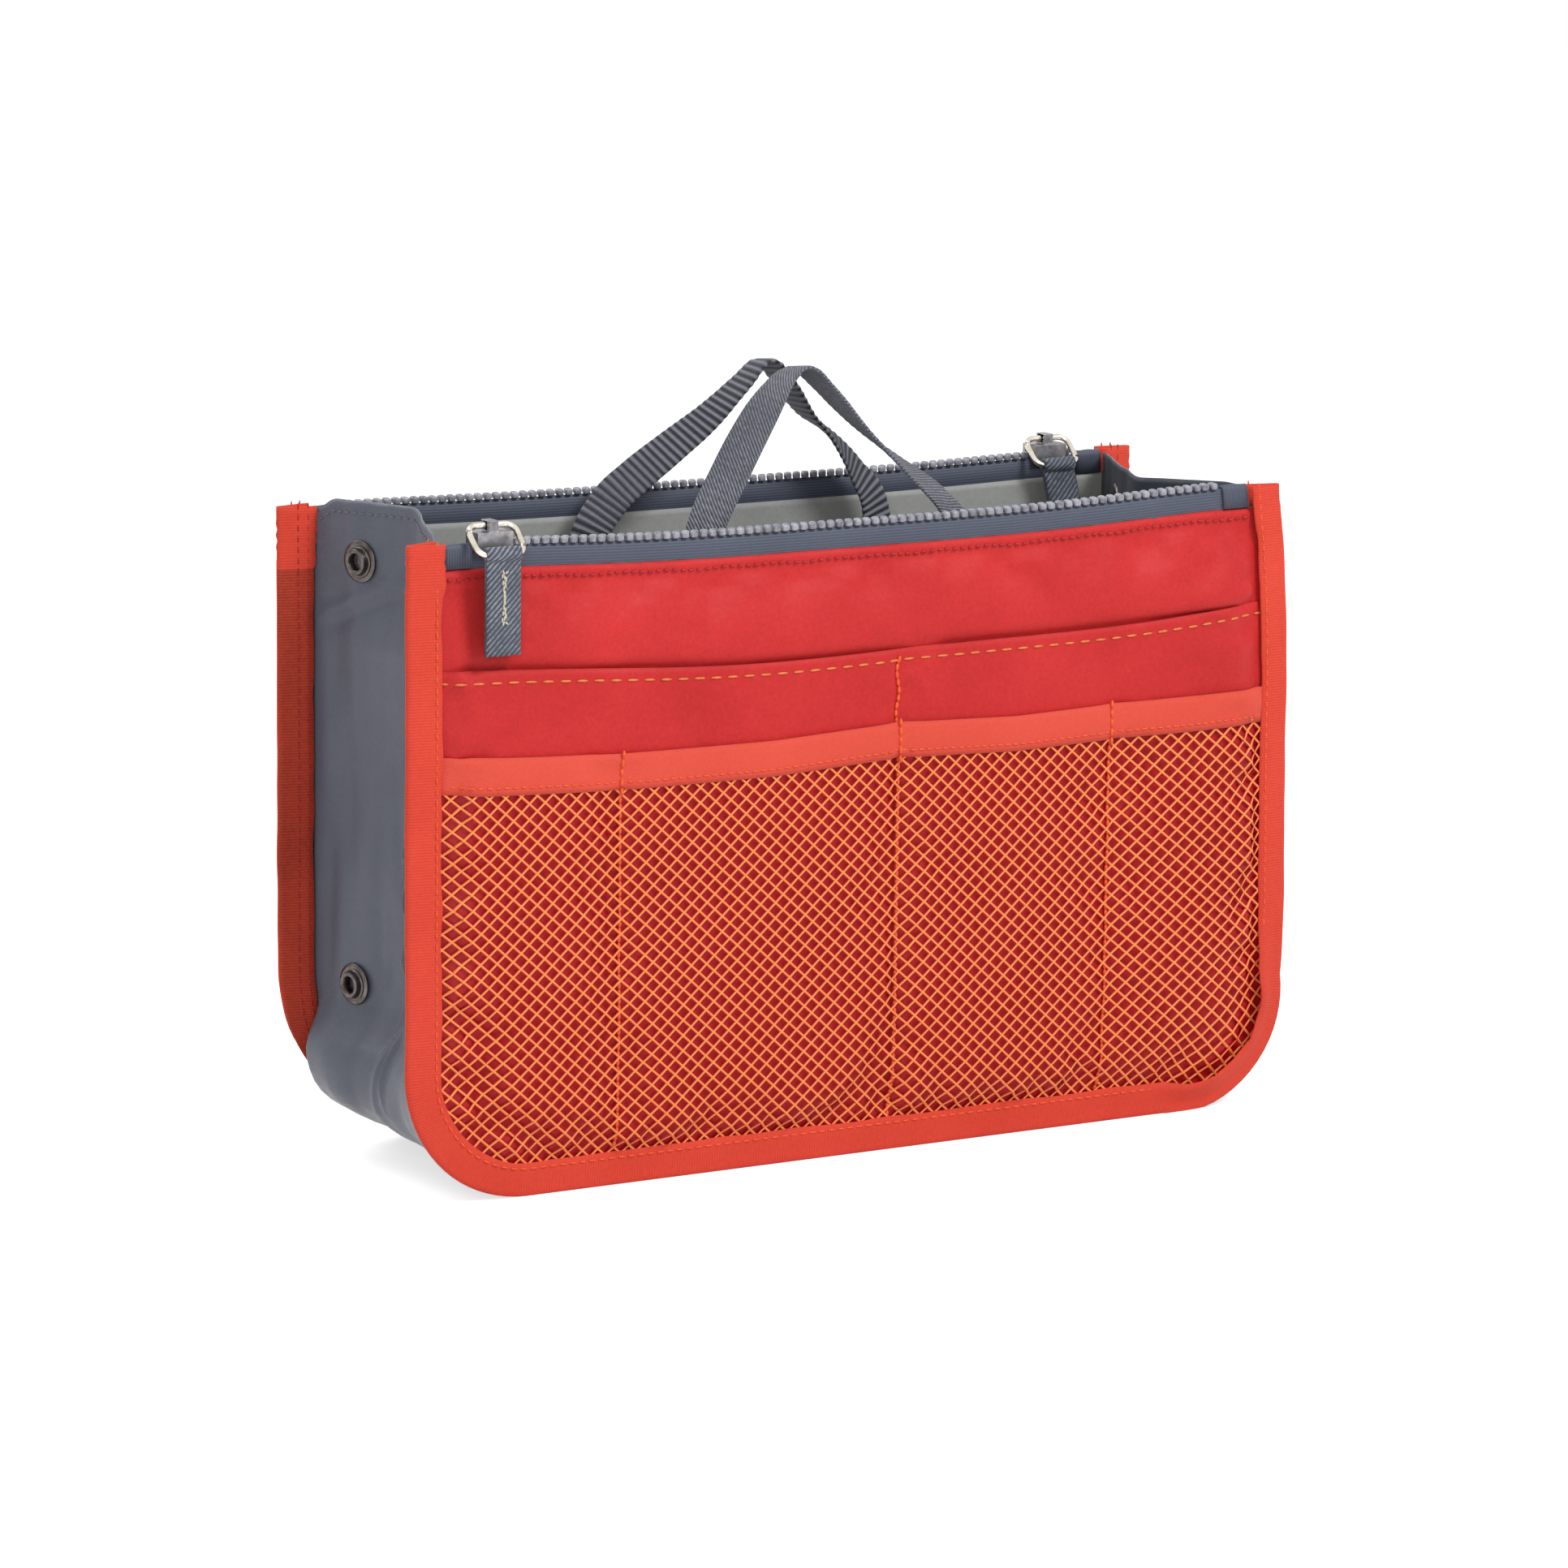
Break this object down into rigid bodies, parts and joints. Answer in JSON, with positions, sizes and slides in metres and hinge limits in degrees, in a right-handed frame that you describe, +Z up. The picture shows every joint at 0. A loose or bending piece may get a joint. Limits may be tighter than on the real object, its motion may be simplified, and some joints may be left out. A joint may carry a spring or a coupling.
{
  "type": "organizer bag",
  "caption": "Upright open-topped organizer bag: zipped padded panels, pleated side gussets with press studs, a net pocket and webbing handles.",
  "frame": {"origin": "middle of the whole outline, on the surface that the bag stands on", "axes": "+Z up, +X along the bag's length, and the panel with the net pocket faces -Y"},
  "size_m": [0.285, 0.0924, 0.2264],
  "materials": {
    "red_satin": "satin",
    "red_tape": "ribbed",
    "orange_net": "open knit",
    "foam": "matte",
    "gray_lining": "satin",
    "gray_nylon": "satin",
    "zip_tape": "woven",
    "zip_teeth": "satin",
    "gray_webbing": "ribbed",
    "silver_wire": "polished",
    "gunmetal": "blackened"
  },
  "bodies": {
    "back_half": {"back_binding": "red_tape", "back_outer_cloth": "red_satin", "back_slip_pocket": "red_satin", "back_foam": "foam", "back_lining": "gray_lining", "back_inner_pocket": "gray_lining", "back_zip_outer_tape": "zip_tape", "back_zip_inner_tape": "zip_tape", "back_zip_teeth": "zip_teeth", "back_zip_left_end": "gray_nylon", "back_zip_right_end": "gray_nylon", "back_handle_left_end": "gray_webbing", "back_handle_right_end": "gray_webbing", "left_gusset": "gray_nylon", "right_gusset": "gray_nylon", "bottom_gusset": "gray_nylon"},
    "front_half": {"front_binding": "red_tape", "front_outer_cloth": "red_satin", "front_slip_pocket": "red_satin", "front_foam": "foam", "front_lining": "gray_lining", "front_inner_pocket": "gray_lining", "front_net_pocket": "orange_net", "front_net_hem": "red_tape", "front_zip_outer_tape": "zip_tape", "front_zip_inner_tape": "zip_tape", "front_zip_teeth": "zip_teeth", "front_zip_left_end": "gray_nylon", "front_zip_right_end": "gray_nylon", "front_handle_left_end": "gray_webbing", "front_handle_right_end": "gray_webbing"},
    "sockets": {"left_upper_socket": "gunmetal", "left_upper_socket_cap": "gunmetal", "left_lower_socket": "gunmetal", "left_lower_socket_cap": "gunmetal", "right_upper_socket": "gunmetal", "right_upper_socket_cap": "gunmetal", "right_lower_socket": "gunmetal", "right_lower_socket_cap": "gunmetal"},
    "posts": {"left_upper_post": "gunmetal", "left_upper_post_cap": "gunmetal", "left_lower_post": "gunmetal", "left_lower_post_cap": "gunmetal", "right_upper_post": "gunmetal", "right_upper_post_cap": "gunmetal", "right_lower_post": "gunmetal", "right_lower_post_cap": "gunmetal"},
    "front_slider": {"front_slider": "silver_wire"},
    "front_ring": {"front_pull_ring": "silver_wire"},
    "front_tab": {"front_pull_tab": "gray_webbing"},
    "back_slider": {"back_slider": "silver_wire"},
    "back_ring": {"back_pull_ring": "silver_wire"},
    "back_tab": {"back_pull_tab": "gray_webbing"},
    "front_handle": {"front_handle_grip": "gray_webbing"},
    "back_handle": {"back_handle_grip": "gray_webbing"}
  },
  "joints": [
    {"name": "depth_close", "type": "slide", "parent": "back_half", "child": "front_half", "axis": [0, 1, 0], "range_m": [0, 0.038], "deforming": ["left_gusset", "right_gusset", "bottom_gusset"]},
    {"name": "sockets_follow", "type": "slide", "parent": "back_half", "child": "sockets", "axis": [0, 1, 0], "range_m": [0, 0.0092]},
    {"name": "posts_follow", "type": "slide", "parent": "front_half", "child": "posts", "axis": [0, 1, 0], "range_m": [-0.0092, 0]},
    {"name": "front_zip", "type": "slide", "parent": "front_half", "child": "front_slider", "axis": [1, 0, 0], "range_m": [0, 0.233]},
    {"name": "front_ring_swing", "type": "hinge", "parent": "front_slider", "child": "front_ring", "pos_m": [-0.1165, -0.03629, 0.1899], "axis": [-1, 0, 0], "range_deg": [0, 222]},
    {"name": "front_tab_swing", "type": "hinge", "parent": "front_ring", "child": "front_tab", "pos_m": [-0.1165, -0.04401, 0.18294], "axis": [-1, 0, 0], "range_deg": [0, 120]},
    {"name": "back_zip", "type": "slide", "parent": "back_half", "child": "back_slider", "axis": [-1, 0, 0], "range_m": [-0.003, 0.2285]},
    {"name": "back_ring_swing", "type": "hinge", "parent": "back_slider", "child": "back_ring", "pos_m": [0.112, 0.04256, 0.1899], "axis": [-1, 0, 0], "range_deg": [0, 222]},
    {"name": "back_tab_swing", "type": "hinge", "parent": "back_ring", "child": "back_tab", "pos_m": [0.112, 0.03484, 0.18294], "axis": [-1, 0, 0], "range_deg": [0, 120]},
    {"name": "front_handle_fold", "type": "hinge", "parent": "front_half", "child": "front_handle", "pos_m": [0, -0.02586, 0.1882], "axis": [1, 0, 0], "range_deg": [0, 75]},
    {"name": "back_handle_fold", "type": "hinge", "parent": "back_half", "child": "back_handle", "pos_m": [0, 0.03214, 0.1882], "axis": [-1, 0, 0], "range_deg": [0, 75]}
  ],
  "couplings": [
    {"joint": "sockets_follow", "follows": "depth_close", "ratio": 0.23753},
    {"joint": "posts_follow", "follows": "depth_close", "ratio": -0.23753}
  ]
}
